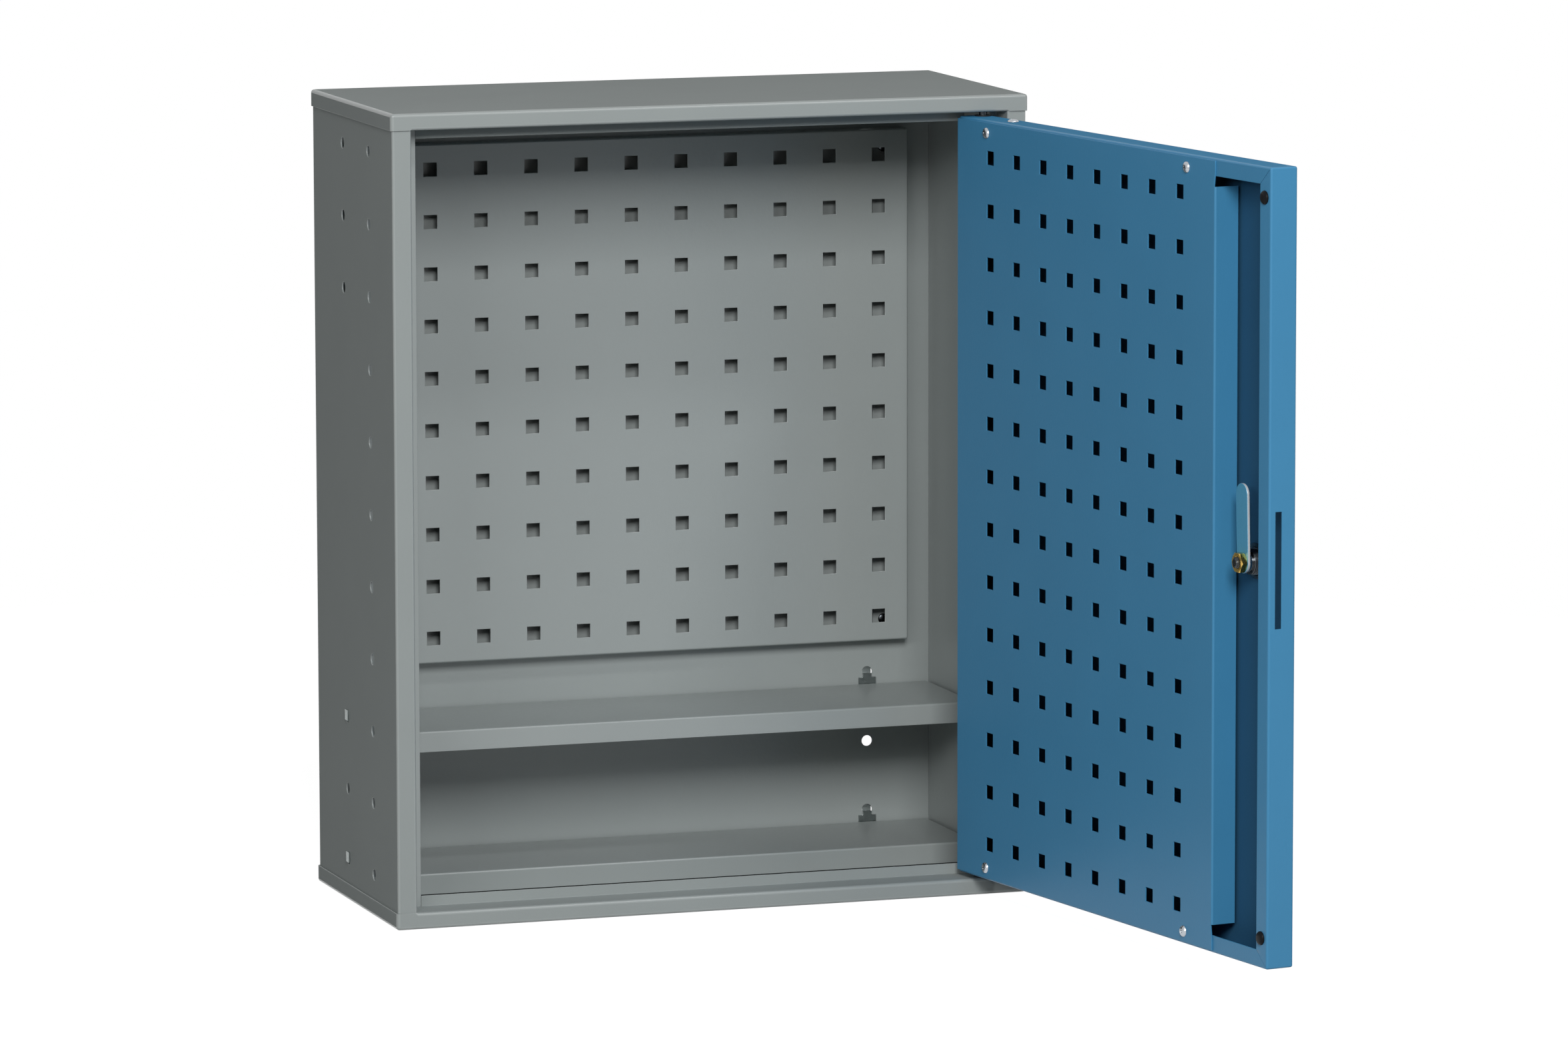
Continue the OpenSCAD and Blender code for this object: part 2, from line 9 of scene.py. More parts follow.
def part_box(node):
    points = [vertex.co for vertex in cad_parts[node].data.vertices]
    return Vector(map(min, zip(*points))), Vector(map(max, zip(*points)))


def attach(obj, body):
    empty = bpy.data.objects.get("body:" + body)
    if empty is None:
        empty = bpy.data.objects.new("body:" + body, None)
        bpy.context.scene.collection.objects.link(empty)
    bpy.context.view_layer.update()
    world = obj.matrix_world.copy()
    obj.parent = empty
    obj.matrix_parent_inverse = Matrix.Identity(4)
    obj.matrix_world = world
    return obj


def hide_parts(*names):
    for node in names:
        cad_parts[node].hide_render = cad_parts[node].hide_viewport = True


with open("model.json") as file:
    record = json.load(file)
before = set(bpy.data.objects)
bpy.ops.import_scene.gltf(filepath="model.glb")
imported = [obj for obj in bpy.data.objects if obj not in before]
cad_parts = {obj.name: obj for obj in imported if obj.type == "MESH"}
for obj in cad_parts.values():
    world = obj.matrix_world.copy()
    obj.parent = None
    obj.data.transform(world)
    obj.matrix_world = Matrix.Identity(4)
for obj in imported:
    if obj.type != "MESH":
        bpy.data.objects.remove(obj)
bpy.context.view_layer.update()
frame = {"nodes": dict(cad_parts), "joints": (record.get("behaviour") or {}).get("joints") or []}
scene = bpy.context.scene
mm = 0.001
print("frame: %d nodes" % len(frame["nodes"]))

# The door is stored standing open. Its pieces are made as if it were shut, with their axes along
# Y or Z, and swung open to where the CAD has it.
joints = {joint["name"]: joint for joint in frame["joints"]}
doorOut = Vector(joints["lock_turn"]["axis"])
hingeFoot = Vector(joints["door_hinge"]["pos_m"])
swing = (Matrix.Translation(hingeFoot)
         @ Vector((0, -1, 0)).rotation_difference(doorOut).to_matrix().to_4x4()
         @ Matrix.Translation(-hingeFoot))
still = Matrix.Identity(4)


def linearColour(hexColour):
    parts = [int(hexColour[i:i + 2], 16) / 255 for i in (1, 3, 5)]
    return [p / 12.92 if p <= 0.04045 else ((p + 0.055) / 1.055) ** 2.4 for p in parts] + [1.0]


# Adds one node; a setting is an input where the node has one of that name, else a property
def addNode(tree, kind, settings=None, links=None):
    node = tree.nodes.new("ShaderNode" + kind)
    for key, value in (settings or {}).items():
        if isinstance(key, int) or key in node.inputs:
            node.inputs[key].default_value = value
        else:
            setattr(node, key, value)
    for key, socket in (links or {}).items():
        tree.links.new(socket, node.inputs[key])
    return node


def newMaterial(name):
    material = bpy.data.materials.new(name)
    material.use_nodes = True
    tree = material.node_tree
    tree.nodes.clear()
    shader = addNode(tree, "BsdfPrincipled")
    addNode(tree, "OutputMaterial", links={"Surface": shader.outputs["BSDF"]})
    return material, tree, shader


# The grey value of a noise that sticks to the piece, its cells given in mm
def cellNoise(tree, cell, detail):
    place = addNode(tree, "TexCoord").outputs["Object"]
    return addNode(tree, "TexNoise", {"Scale": 1 / (cell * mm), "Detail": detail},
                   {"Vector": place}).outputs["Fac"]


# A colour that drifts between two tones by one noise, and a bump, its height in mm, by another
def toneAndBump(tree, shader, tones, toneNoise, height, bumpNoise):
    tone = addNode(tree, "Mix", {"data_type": "RGBA", 6: linearColour(tones[0]),
                                 7: linearColour(tones[1])}, {0: toneNoise})
    bump = addNode(tree, "Bump", {"Strength": 1.0, "Distance": height * mm},
                   {"Height": bumpNoise})
    tree.links.new(tone.outputs[2], shader.inputs["Base Color"])
    tree.links.new(bump.outputs["Normal"], shader.inputs["Normal"])


# Electrostatic powder coat, baked: the melted grains leave a shallow orange peel and a satin gloss
def powderCoat(name, look):
    material, tree, shader = newMaterial(name)
    peel = cellNoise(tree, look["peelCell"], detail=1.5)
    cloud = cellNoise(tree, look["cloudCell"], detail=2.0)
    toneAndBump(tree, shader, (look["colour"], look["thinColour"]), cloud,
                look["peelHeight"], peel)
    gloss = addNode(tree, "MapRange", {"To Min": look["roughness"] - look["roughnessSpread"],
                                       "To Max": look["roughness"] + look["roughnessSpread"]},
                    {"Value": peel})
    tree.links.new(gloss.outputs["Result"], shader.inputs["Roughness"])
    shader.inputs["IOR"].default_value = look["ior"]
    shader.inputs["Specular IOR Level"].default_value = look["sheen"]
    return material


# Metal finishes: a fine uneven sheen over the whole surface, and the marks of its making as bump
def metalFinish(name, look):
    material, tree, shader = newMaterial(name)
    grain = cellNoise(tree, look["grainCell"], detail=3.0)
    toneAndBump(tree, shader, (look["colour"], look["dullColour"]), grain,
                look["grainHeight"], grain)
    gloss = addNode(tree, "MapRange", {"From Min": 0.3, "From Max": 0.7,
                                       "To Min": look["roughness"][0],
                                       "To Max": look["roughness"][1]}, {"Value": grain})
    tree.links.new(gloss.outputs["Result"], shader.inputs["Roughness"])
    shader.inputs["Metallic"].default_value = look.get("metallic", 1.0)
    return material


# Moulded rubber and nylon: matt, with the mould's fine spark texture
def mouldedPlastic(name, look):
    material, tree, shader = newMaterial(name)
    spark = cellNoise(tree, look["sparkCell"], detail=2.0)
    toneAndBump(tree, shader, (look["colour"], look["worn"]), spark, look["sparkHeight"], spark)
    shader.inputs["Roughness"].default_value = look["roughness"]
    shader.inputs["IOR"].default_value = look["ior"]
    shader.inputs["Specular IOR Level"].default_value = look["sheen"]
    return material


# What all powder coats share: peel cells of 2.2 mm, which show as a soft grain
powder = {"cloudCell": 60, "peelCell": 2.2, "peelHeight": 0.055, "roughnessSpread": 0.03,
          "ior": 1.5}
greyTones = {"colour": "#969c9b", "thinColour": "#929897"}
blueTones = {"colour": "#4084ad", "thinColour": "#3d7fa7"}
dryCoat = {"roughness": 0.65, "sheen": 0.03}
# Light grey satin powder: a faint green-blue cast with soft highlights along the bends
greyPowder = powderCoat("greyPowderSatin", {
    **powder, **greyTones, "roughness": 0.3, "sheen": 0.5})
# The same grey on the outer faces, which look matt: a dry, even coat with little gloss
greyPowderOutside = powderCoat("greyPowderMatt", {**powder, **greyTones, **dryCoat})
# Mid blue satin powder on the door: clear and calm, with a broad soft gloss
bluePowder = powderCoat("bluePowderSatin", {
    **powder, **blueTones, "roughness": 0.42, "sheen": 0.3})
# The same blue on the door's outer faces: dry and matt
bluePowderOutside = powderCoat("bluePowderMatt", {**powder, **blueTones, **dryCoat})
# Inside the door's pan the blue is darker and matt: painted shade for the deep channel behind the
# lips and for the pan seen through the panel's holes
bluePowderPaintedShade = powderCoat("bluePowderPaintedShadeCoat", {
    **powder, "colour": "#2a5676", "thinColour": "#27516f", "peelHeight": 0.05,
    "roughness": 0.65, "sheen": 0.1})
# Bright zinc plate: a bluish white metal, slightly cloudy from the bath
zincPlate = metalFinish("brightZincPlate", {
    "colour": "#b9bdc1", "dullColour": "#a5a9ae", "grainCell": 1.5, "grainHeight": 0.008,
    "roughness": (0.2, 0.34)})
# Dull zinc on the stamped strip: a darker and cloudier grey
dullZinc = metalFinish("dullZincPlate", {
    "colour": "#8d9594", "dullColour": "#7a8180", "grainCell": 1.5, "grainHeight": 0.008,
    "roughness": (0.3, 0.44)})
# Blue lacquered zinc on the cam's faces: a teal film over the metal, with a soft gloss
blueZinc = metalFinish("blueLacqueredZinc", {
    "colour": "#529fc4", "dullColour": "#4b95b9", "grainCell": 2.0, "grainHeight": 0.006,
    "roughness": (0.3, 0.4), "metallic": 0.3})
# Steel of the pins, rivets and lock barrel: a dark grey, its darkness partly painted shade of the
# gaps and holes these pieces sit in
darkSteel = metalFinish("darkSteelPaintedShade", {
    "colour": "#45494c", "dullColour": "#3b3e41", "grainCell": 1.0, "grainHeight": 0.008,
    "roughness": (0.22, 0.34)})
# The cam's cut edge: bare bright steel, brushed by the die, made near white and only part metallic
# as a painted highlight along the rim
cutSteel = metalFinish("cutEdgePaintedHighlight", {
    "colour": "#e2e6e9", "dullColour": "#d5d9dc", "grainCell": 0.6, "grainHeight": 0.01,
    "roughness": (0.3, 0.45), "metallic": 0.35})
# Polished chrome plate on the lock: nearly a mirror
chromePlate = metalFinish("chromePlate", {
    "colour": "#d6d8da", "dullColour": "#ccced1", "grainCell": 2.5, "grainHeight": 0.003,
    "roughness": (0.06, 0.12)})
# Turned brass, left bare: a warm yellow metal with a cut surface
turnedBrass = metalFinish("turnedBrass", {
    "colour": "#e0be6c", "dullColour": "#c9a24f", "grainCell": 0.8, "grainHeight": 0.006,
    "roughness": (0.18, 0.32)})
# Black moulded rubber: deep and matt with a soft highlight
mouldedRubber = mouldedPlastic("blackMouldedRubber", {
    "colour": "#0d0e10", "worn": "#131417", "sparkCell": 0.6, "sparkHeight": 0.01,
    "roughness": 0.4, "ior": 1.52, "sheen": 0.08})
# Black nylon of the bushes and the washer: dark and smooth, and dark also as painted shade of the
# narrow gaps round the pins
blackNylonPaintedShade = mouldedPlastic("blackNylonPaintedShade", {
    "colour": "#1b1c1e", "worn": "#222325", "sparkCell": 0.8, "sparkHeight": 0.006,
    "roughness": 0.38, "ior": 1.53, "sheen": 0.3})
print("materials made")

edgeFinish = {
    "bendAngle": 35,  # degrees, steeper meetings of two faces are edges
    "rimWidth": 1.7,  # mm, a narrower face is the cut rim of the sheet
    "smoothAngle": 50,  # degrees, what the eye sees as one rounded surface
    "turnedAngle": 30,  # degrees, the same on turned and moulded pieces
}
sheetMaking = {
    "thickness": 1.0,  # mm
    "rimAngle": 60,  # degrees, steeper edges of the finished sheet are its cut rims
    "roundHole": 30,  # mm, the widest round hole
    "holeSides": 12,  # a ring of more edges than this is a round hole
    "lineRoom": 1.8,  # mm, no line is drawn nearer to a bend than this
    "squareCosine": 0.01,  # two sides of a corner below this are square to each other
    "straight": 0.999,  # the part of a direction along its own axis, for a face or side on it
}
# How near counts as the same place, in metres, and how flat as one face, in degrees
closeness = {"weld": 2e-6, "weldFine": 1e-6, "weldThread": 1e-7, "level": 5e-6, "line": 1e-6,
             "flatRing": 1e-5, "sliver": 2e-5, "cut": 5e-5, "flatAngle": 0.5}
thick = sheetMaking["thickness"] * mm
turnedAngle = edgeFinish["turnedAngle"]


# Width of the flat run of faces that each face belongs to, twice its area over its outline
def runWidths(bm):
    limit = math.radians(edgeFinish["bendAngle"])
    width = {}
    for seed in bm.faces:
        if seed in width:
            continue
        run, stack, outline = {seed}, [seed], 0.0
        while stack:
            face = stack.pop()
            for edge in face.edges:
                others = [f for f in edge.link_faces if f is not face]
                if len(others) == 1 and not edge.seam and edge.calc_face_angle(math.pi) < limit:
                    if others[0] not in run:
                        run.add(others[0])
                        stack.append(others[0])
                else:
                    outline += edge.calc_length()
        area = sum(face.calc_area() for face in run)
        width.update((face, 2 * area / outline if outline else 1.0) for face in run)
    return width


# The bends of a sheet: steep edges between two broad faces
def bendsOf(bm):
    width = runWidths(bm)
    limit = math.radians(edgeFinish["bendAngle"])
    broad = edgeFinish["rimWidth"] * mm
    return [e for e in bm.edges if len(e.link_faces) == 2 and e.calc_face_angle(0) > limit
            and min(width[f] for f in e.link_faces) > broad]


def roundEdges(bm, edges, radius, segments):
    if edges:
        bmesh.ops.bevel(bm, geom=edges, offset=radius * mm, offset_type="OFFSET",
                        segments=segments, profile=0.5, affect="EDGES", clamp_overlap=False,
                        material=-1)


# A welded copy of a CAD node's mesh
def copyOf(node):
    bm = bmesh.new()
    bm.from_mesh(frame["nodes"][node].data)
    bmesh.ops.remove_doubles(bm, verts=bm.verts, dist=closeness["weld"])
    return bm


# Makes flat faces whole that are cut up into triangles
def mergeFlats(bm, **options):
    bmesh.ops.dissolve_limit(bm, angle_limit=math.radians(closeness["flatAngle"]),
                             verts=bm.verts, edges=bm.edges, **options)


# True where all points lie at one level, an axis and a place on it
def atLevel(verts, level):
    return all(abs(v.co[level[0]] - level[1]) < closeness["level"] for v in verts)


# Cuts the flat faces lying at one level at stations along another axis
def cutLevel(bm, level, axis, stations):
    direction = Vector(1.0 if i == axis else 0.0 for i in range(3))
    for station in stations:
        faces = [f for f in bm.faces if atLevel(f.verts, level)]
        parts = {e for f in faces for e in f.edges} | {v for f in faces for v in f.verts}
        cut = bmesh.ops.bisect_plane(bm, geom=faces + list(parts), dist=closeness["cut"],
                                     plane_co=direction * station, plane_no=direction)
        for item in cut["geom_cut"]:
            if isinstance(item, bmesh.types.BMEdge):
                item.seam = True


# Groups of items that are joined through their neighbours
def connected(items, neighbours):
    left, groups = set(items), []
    for item in items:
        if item in left:
            left.discard(item)
            group, stack = [item], [item]
            while stack:
                for other in neighbours(stack.pop()):
                    if other in left:
                        left.discard(other)
                        group.append(other)
                        stack.append(other)
            groups.append(group)
    return groups


def boxOf(verts):
    return (Vector(min(v.co[i] for v in verts) for i in range(3)),
            Vector(max(v.co[i] for v in verts) for i in range(3)))


# True for a direction that runs along one of the axes
def onAxis(direction, limit):
    return max(abs(c) for c in direction) > limit


# Lines through the holes and the square corners of a bare skin, so that its flats part cleanly
def cornerLines(bm, bends):
    lines = {}

    def draw(flat, level, place):
        for axis in range(3):
            if axis != flat:
                lines.setdefault((flat, round(level, 6), axis), set()).add(round(place[axis], 5))

    rims = [e for e in bm.edges if len(e.link_faces) == 1]
    for loop in connected(rims, lambda e: [other for v in e.verts for other in v.link_edges]):
        edges = set(loop)
        verts = {v for e in loop for v in e.verts}
        low, high = boxOf(verts)
        flats = [i for i in range(3) if high[i] - low[i] < closeness["flatRing"]]
        if (len(verts) > sheetMaking["holeSides"] and len(flats) == 1
                and max(high - low) < sheetMaking["roundHole"] * mm):
            draw(flats[0], low[flats[0]], (low + high) / 2)
            continue
        for vert in verts:
            normal = vert.link_faces[0].normal
            arms = [(e.other_vert(vert).co - vert.co).normalized() for e in vert.link_edges
                    if e in edges]
            if (all(f.normal.dot(normal) > sheetMaking["straight"] for f in vert.link_faces)
                    and len(arms) == 2
                    and abs(arms[0].dot(arms[1])) < sheetMaking["squareCosine"]
                    and all(onAxis(arm, sheetMaking["straight"]) for arm in arms)):
                flat = max(range(3), key=lambda i: abs(normal[i]))
                draw(flat, vert.co[flat], vert.co)
    room = sheetMaking["lineRoom"] * mm
    for (flat, level, axis), stations in sorted(lines.items()):
        near = [e.verts[0].co[axis] for e in bends
                if atLevel(e.verts, (flat, level))
                and abs(e.verts[0].co[axis] - e.verts[1].co[axis]) < closeness["line"]]
        cutLevel(bm, (flat, level), axis,
                 [s for s in sorted(stations) if all(abs(s - bend) > room for bend in near)])


# True for an edge steeper than an angle in degrees, outwards with sign 1 and inwards with -1
def steepHere(edge, sign, angle):
    return (len(edge.link_faces) == 2
            and edge.calc_face_angle_signed(0) * sign > math.radians(angle))


# A CAD sheet folded anew: its outer skin alone is kept, the bends are rounded in the bare skin, it
# gets its thickness inwards and its rims are softened. Shapes are seen with the door swung back.
def foldedSheet(node, shape, swung=still, partings=(), adjust=None, keepSharp=None):
    bm = copyOf(node)
    bm.transform(swung.inverted())
    for level, axis, stations in partings:
        cutLevel(bm, level, axis, stations)
    width = runWidths(bm)
    rims = [f for f in bm.faces if width[f] < edgeFinish["rimWidth"] * mm]
    bmesh.ops.delete(bm, geom=rims, context="FACES")
    skins = connected(bm.faces, lambda f: [other for e in f.edges for other in e.link_faces])
    outer = set(max(skins, key=lambda skin: sum(f.calc_area() for f in skin)))
    bmesh.ops.delete(bm, geom=[f for f in bm.faces if f not in outer], context="FACES")
    if adjust:
        adjust(bm)
    bend = edgeFinish["bendAngle"]
    cornerLines(bm, [e for e in bm.edges if steepHere(e, 1, bend) or steepHere(e, -1, bend)])
    bmesh.ops.dissolve_degenerate(bm, dist=closeness["sliver"], edges=bm.edges)
    mergeFlats(bm, delimit={"SEAM"})
    for edge in bm.edges:
        edge.seam = False
    for sign, radius, segments in ((1, shape["bend"], 5), (-1, shape["inside"], 2)):
        roundEdges(bm, [e for e in bm.edges if steepHere(e, sign, bend)
                        and not (keepSharp and keepSharp(e))], radius, segments)
    bmesh.ops.solidify(bm, geom=bm.faces[:], thickness=thick)
    roundEdges(bm, [e for e in bm.edges if steepHere(e, 1, sheetMaking["rimAngle"])
                    and not (keepSharp and keepSharp(e))], shape["rim"], 2)
    bm.transform(swung)
    return bm


# Rounds a folded sheet: wide outside its bends, tight inside them, and slightly along its rims
def roundSheet(bm, bend, inside, rim):
    for sign, radius, segments in ((1, bend, 4), (-1, inside, 2)):
        roundEdges(bm, [e for e in bendsOf(bm) if e.calc_face_angle_signed(0) * sign > 0],
                   radius, segments)
    roundEdges(bm, [e for e in bm.edges if steepHere(e, 1, edgeFinish["bendAngle"])], rim, 2)


def finishPiece(bm, name, nodes, body, materials, smoothAngle=None):
    mesh = bpy.data.meshes.new(name)
    bm.to_mesh(mesh)
    bm.free()
    for material in materials if isinstance(materials, tuple) else (materials,):
        mesh.materials.append(material)
    mesh.shade_smooth()
    mesh.set_sharp_from_angle(angle=math.radians(smoothAngle or edgeFinish["smoothAngle"]))
    piece = bpy.data.objects.new(name, mesh)
    scene.collection.objects.link(piece)
    # flat faces keep flat light and only the rounded edges turn it
    piece.modifiers.new("weightedNormal", "WEIGHTED_NORMAL").keep_sharp = True
    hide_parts(*nodes)
    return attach(piece, body)


# Boxes round the separate solids of a node, seen with the door swung back by a matrix
def solidsOf(node, swung=still):
    bm = copyOf(node)
    mergeFlats(bm)
    bm.transform(swung.inverted())
    boxes = [boxOf(group) for group in
             connected(bm.verts, lambda v: [e.other_vert(v) for e in v.link_edges])]
    bm.free()
    return boxes


# A profile of (radius, height) in mm, turned about Z; a ring's profile closes on itself
def turned(profile, ring=False, steps=48):
    bm = bmesh.new()
    verts = [bm.verts.new((r * mm, 0, h * mm)) for r, h in profile]
    pairs = list(zip(verts, verts[1:])) + ([(verts[-1], verts[0])] if ring else [])
    edges = [bm.edges.new(pair) for pair in pairs]
    bmesh.ops.spin(bm, geom=verts + edges, cent=(0, 0, 0), axis=(0, 0, 1), dvec=(0, 0, 0),
                   angle=2 * math.pi, steps=steps, use_merge=True)
    bmesh.ops.remove_doubles(bm, verts=bm.verts, dist=closeness["weldFine"])
    bmesh.ops.recalc_face_normals(bm, faces=bm.faces)
    return bm


# How the corners of a nut are turned off: radius over height, and how far in from the flats
nutCrown = {"slope": 1.73, "inset": 0.1}


# A hexagon nut standing on 0, height in mm, with a hole countersunk at both ends
def nutShape(nut, height):
    half, chamfer = nut["flats"] / 2, nut["chamfer"]
    corner = half / math.cos(math.radians(30)) * mm
    bm = bmesh.new()
    bmesh.ops.create_cone(bm, cap_ends=True, segments=6, radius1=corner, radius2=corner,
                          depth=height * mm)
    bmesh.ops.rotate(bm, verts=bm.verts, matrix=Matrix.Rotation(math.radians(30), 3, "Z"))
    bmesh.ops.translate(bm, verts=bm.verts, vec=(0, 0, height / 2 * mm))
    flatEnd, wide = half - nutCrown["inset"], half + chamfer * nutCrown["slope"]
    crown = turned([(0, 0), (flatEnd, 0), (wide, chamfer), (wide, height - chamfer),
                    (flatEnd, height), (0, height)])
    bore, sink = nut["bore"], nut["countersink"]
    hole = turned([(0, -1), (bore + sink + 1, -1), (bore, sink), (bore, height - sink),
                   (bore + sink + 1, height + 1), (0, height + 1)], steps=nut["steps"])
    return carved(carved(bm, crown, "INTERSECT"), hole)


# Exact boolean of two shapes, both used up
def carved(bm, cutter, operation="DIFFERENCE"):
    objects = []
    for shape, name in ((bm, "carvedBody"), (cutter, "carvingTool")):
        mesh = bpy.data.meshes.new(name)
        shape.to_mesh(mesh)
        shape.free()
        objects.append(bpy.data.objects.new(name, mesh))
        scene.collection.objects.link(objects[-1])
    modifier = objects[0].modifiers.new("carve", "BOOLEAN")
    modifier.operation = operation
    modifier.solver = "EXACT"
    modifier.object = objects[1]
    result = bmesh.new()
    result.from_object(objects[0], bpy.context.evaluated_depsgraph_get())
    for item in objects:
        bpy.data.meshes.remove(item.data)
    bmesh.ops.remove_doubles(result, verts=result.verts, dist=closeness["weldFine"])
    return result


# A box tool, mm, centred on a point; a taper narrows its lower end
def boxTool(size, centre, taper=1.0):
    bm = bmesh.new()
    bmesh.ops.create_cube(bm, size=1)
    for vert in bm.verts:
        if vert.co.z < 0:
            vert.co.x *= taper
            vert.co.y *= taper
    bmesh.ops.scale(bm, verts=bm.verts, vec=Vector(size) * mm)
    bmesh.ops.translate(bm, verts=bm.verts, vec=Vector(centre) * mm)
    return bm


# A thread's ridge: half its width over the pitch, and how deep in mm it is sunk in the core
ridgeForm = {"halfWidth": 0.42, "sunk": 0.15}


# A screw thread: a ridge wound round a core, between two heights in mm
def threadRidge(rootRadius, tipRadius, pitch, z0, z1, steps=16):
    bm = bmesh.new()
    half, root = pitch * ridgeForm["halfWidth"], rootRadius - ridgeForm["sunk"]
    corners = [(root, -half), (tipRadius, 0), (root, half)]
    verts = [bm.verts.new((r * mm, 0, (z0 + half + h) * mm)) for r, h in corners]
    edges = [bm.edges.new(pair) for pair in zip(verts, verts[1:] + verts[:1])]
    bm.faces.new(verts)
    turns = (z1 - z0 - 2 * half) / pitch
    bmesh.ops.spin(bm, geom=verts + edges + bm.faces[:], cent=(0, 0, 0), axis=(0, 0, 1),
                   dvec=(0, 0, pitch / steps * mm), angle=2 * math.pi * turns,
                   steps=max(1, round(turns * steps)))
    bmesh.ops.remove_doubles(bm, verts=bm.verts, dist=closeness["weldThread"])
    bmesh.ops.recalc_face_normals(bm, faces=bm.faces)
    return bm


# Adds copies of a shape to another, one for each matrix
def addShape(bm, shape, matrices):
    mesh = bpy.data.meshes.new("shape")
    shape.to_mesh(mesh)
    shape.free()
    for matrix in matrices:
        moved = mesh.copy()
        moved.transform(matrix)
        bm.from_mesh(moved)
        bpy.data.meshes.remove(moved)
    bpy.data.meshes.remove(mesh)
    return bm


# The place of a shape made along Z: its foot at a point, its Z along a direction
def standing(point, direction):
    turn = Vector((0, 0, 1)).rotation_difference(Vector(direction)).to_matrix().to_4x4()
    return Matrix.Translation(point) @ turn


flatNormal = 0.997  # a face whose normal has more than this along an axis is flat


# Gives another coat to the flat faces beyond any of some planes, each an axis, a side and a
# station, seen with the door swung back; the bends keep the first coat, which shines there
def coatBeyond(bm, planes, swung=still, coat=1, flatsOnly=True):
    back = swung.inverted()
    for face in bm.faces:
        middle = back @ face.calc_center_median()
        flat = onAxis(back.to_3x3() @ face.normal, flatNormal)
        if ((flat or not flatsOnly)
                and any((middle[axis] - station) * side > 0 for axis, side, station in planes)):
            face.material_index = coat


# The body's sheets, folded from 1 mm steel and coated after folding. They are matt outside and on
# their front faces, which lie beyond these levels in mm.
bodySheets = {"bend": 1.5, "inside": 0.5, "rim": 0.2}
bodyOutside = {"side": 234.5, "front": -103.5}
outsidePlanes = ((0, -1, -bodyOutside["side"] * mm), (0, 1, bodyOutside["side"] * mm),
                 (1, -1, bodyOutside["front"] * mm))
for node, name in (("left_side", "leftSideSheet"), ("right_side", "rightSideSheet"),
                   ("back_wall", "backWallSheet"), ("upper_shelf", "upperShelfTray"),
                   ("lower_shelf", "lowerShelfTray")):
    bm = foldedSheet(node, bodySheets)
    coatBeyond(bm, outsidePlanes)
    finishPiece(bm, name, [node], "cabinet", (greyPowder, greyPowderOutside))
print("sides, wall and shelves made")

# The caps are trays whose front ledge is folded back from part of the front flange, with a stop
# folded up from the ledge's back edge over part of its length
capSheets = {"bend": 2.3, "inside": 0.18, "rim": 0.2}
capLedge = {"ends": (-220.8, 220.8), "flange": 12, "stopBack": -79.5, "stopEnd": 196.74}
ledgeEnds = [x * mm for x in capLedge["ends"]]
allFlats = ((2, 1, -1.0),)  # a plane below the whole part
for node, name in (("top_cap", "topCapTray"), ("bottom_cap", "bottomCapTray")):
    low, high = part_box(node)
    flange = capLedge["flange"] * mm
    rimLevel = low.z + flange if node == "bottom_cap" else high.z - flange
    bm = foldedSheet(node, capSheets, partings=(
        ((2, rimLevel), 0, ledgeEnds), ((1, low.y), 0, ledgeEnds),
        ((1, capLedge["stopBack"] * mm), 0, (capLedge["stopEnd"] * mm,))))
    coatBeyond(bm, allFlats)
    finishPiece(bm, name, [node], "cabinet", (greyPowder, greyPowderOutside))
print("caps made")

# The perforated pan on the wall, with feet folded in behind
backPanelPan = {"bend": 1.5, "inside": 0.5, "rim": 0.25}
low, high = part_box("back_panel")
feetLevel = high.y
bm = foldedSheet("back_panel", backPanelPan,
                 partings=(((1, feetLevel), 2, (low.z + thick, high.z - thick)),),
                 keepSharp=lambda edge: atLevel(edge.verts, (1, feetLevel)))
finishPiece(bm, "backPanelPan", ["back_panel"], "cabinet", greyPowder)
print("back panel made")

# The door's outer pan, and the perforated sheet screwed on its lips. Lengths are in mm; a corner
# point of the lips lies between two parts of the sheet's thickness from the pan's edges.
doorSheets = {"bend": 1.5, "inside": 0.5, "rim": 0.2}
lipSeam = {"along": (13, 11), "start": 1.2, "foldInset": 17.8, "cornerPoint": (0.5, 1.3),
           "shortest": 1.2, "slant": 0.99}
doorCoats = {"skin": 0.6, "roundBends": 2.5}
(shellLow, shellHigh), = solidsOf("door_shell", swing)


# The seam across each corner of the lips starts past the bends
def clearSeams(bm):
    nearest, furthest = (part * thick for part in lipSeam["cornerPoint"])
    for vert in bm.verts:
        for corner, up in ((shellLow.z, 1), (shellHigh.z, -1)):
            offset = (vert.co.x - shellLow.x, (vert.co.z - corner) * up)
            if all(nearest < value < furthest for value in offset):
                along, rise = lipSeam["along"]
                step = Vector((along, 0, rise * up)).normalized()
                vert.co += step * lipSeam["start"] * mm


def slanted(edge):
    run = edge.verts[1].co - edge.verts[0].co
    return (run.length > lipSeam["shortest"] * mm
            and not onAxis(run.normalized(), lipSeam["slant"]))


# Planes along the door's four edges, a depth in from them
def edgePlanes(depth):
    return ((0, -1, shellLow.x + depth), (0, 1, shellHigh.x - depth),
            (2, -1, shellLow.z + depth), (2, 1, shellHigh.z - depth))


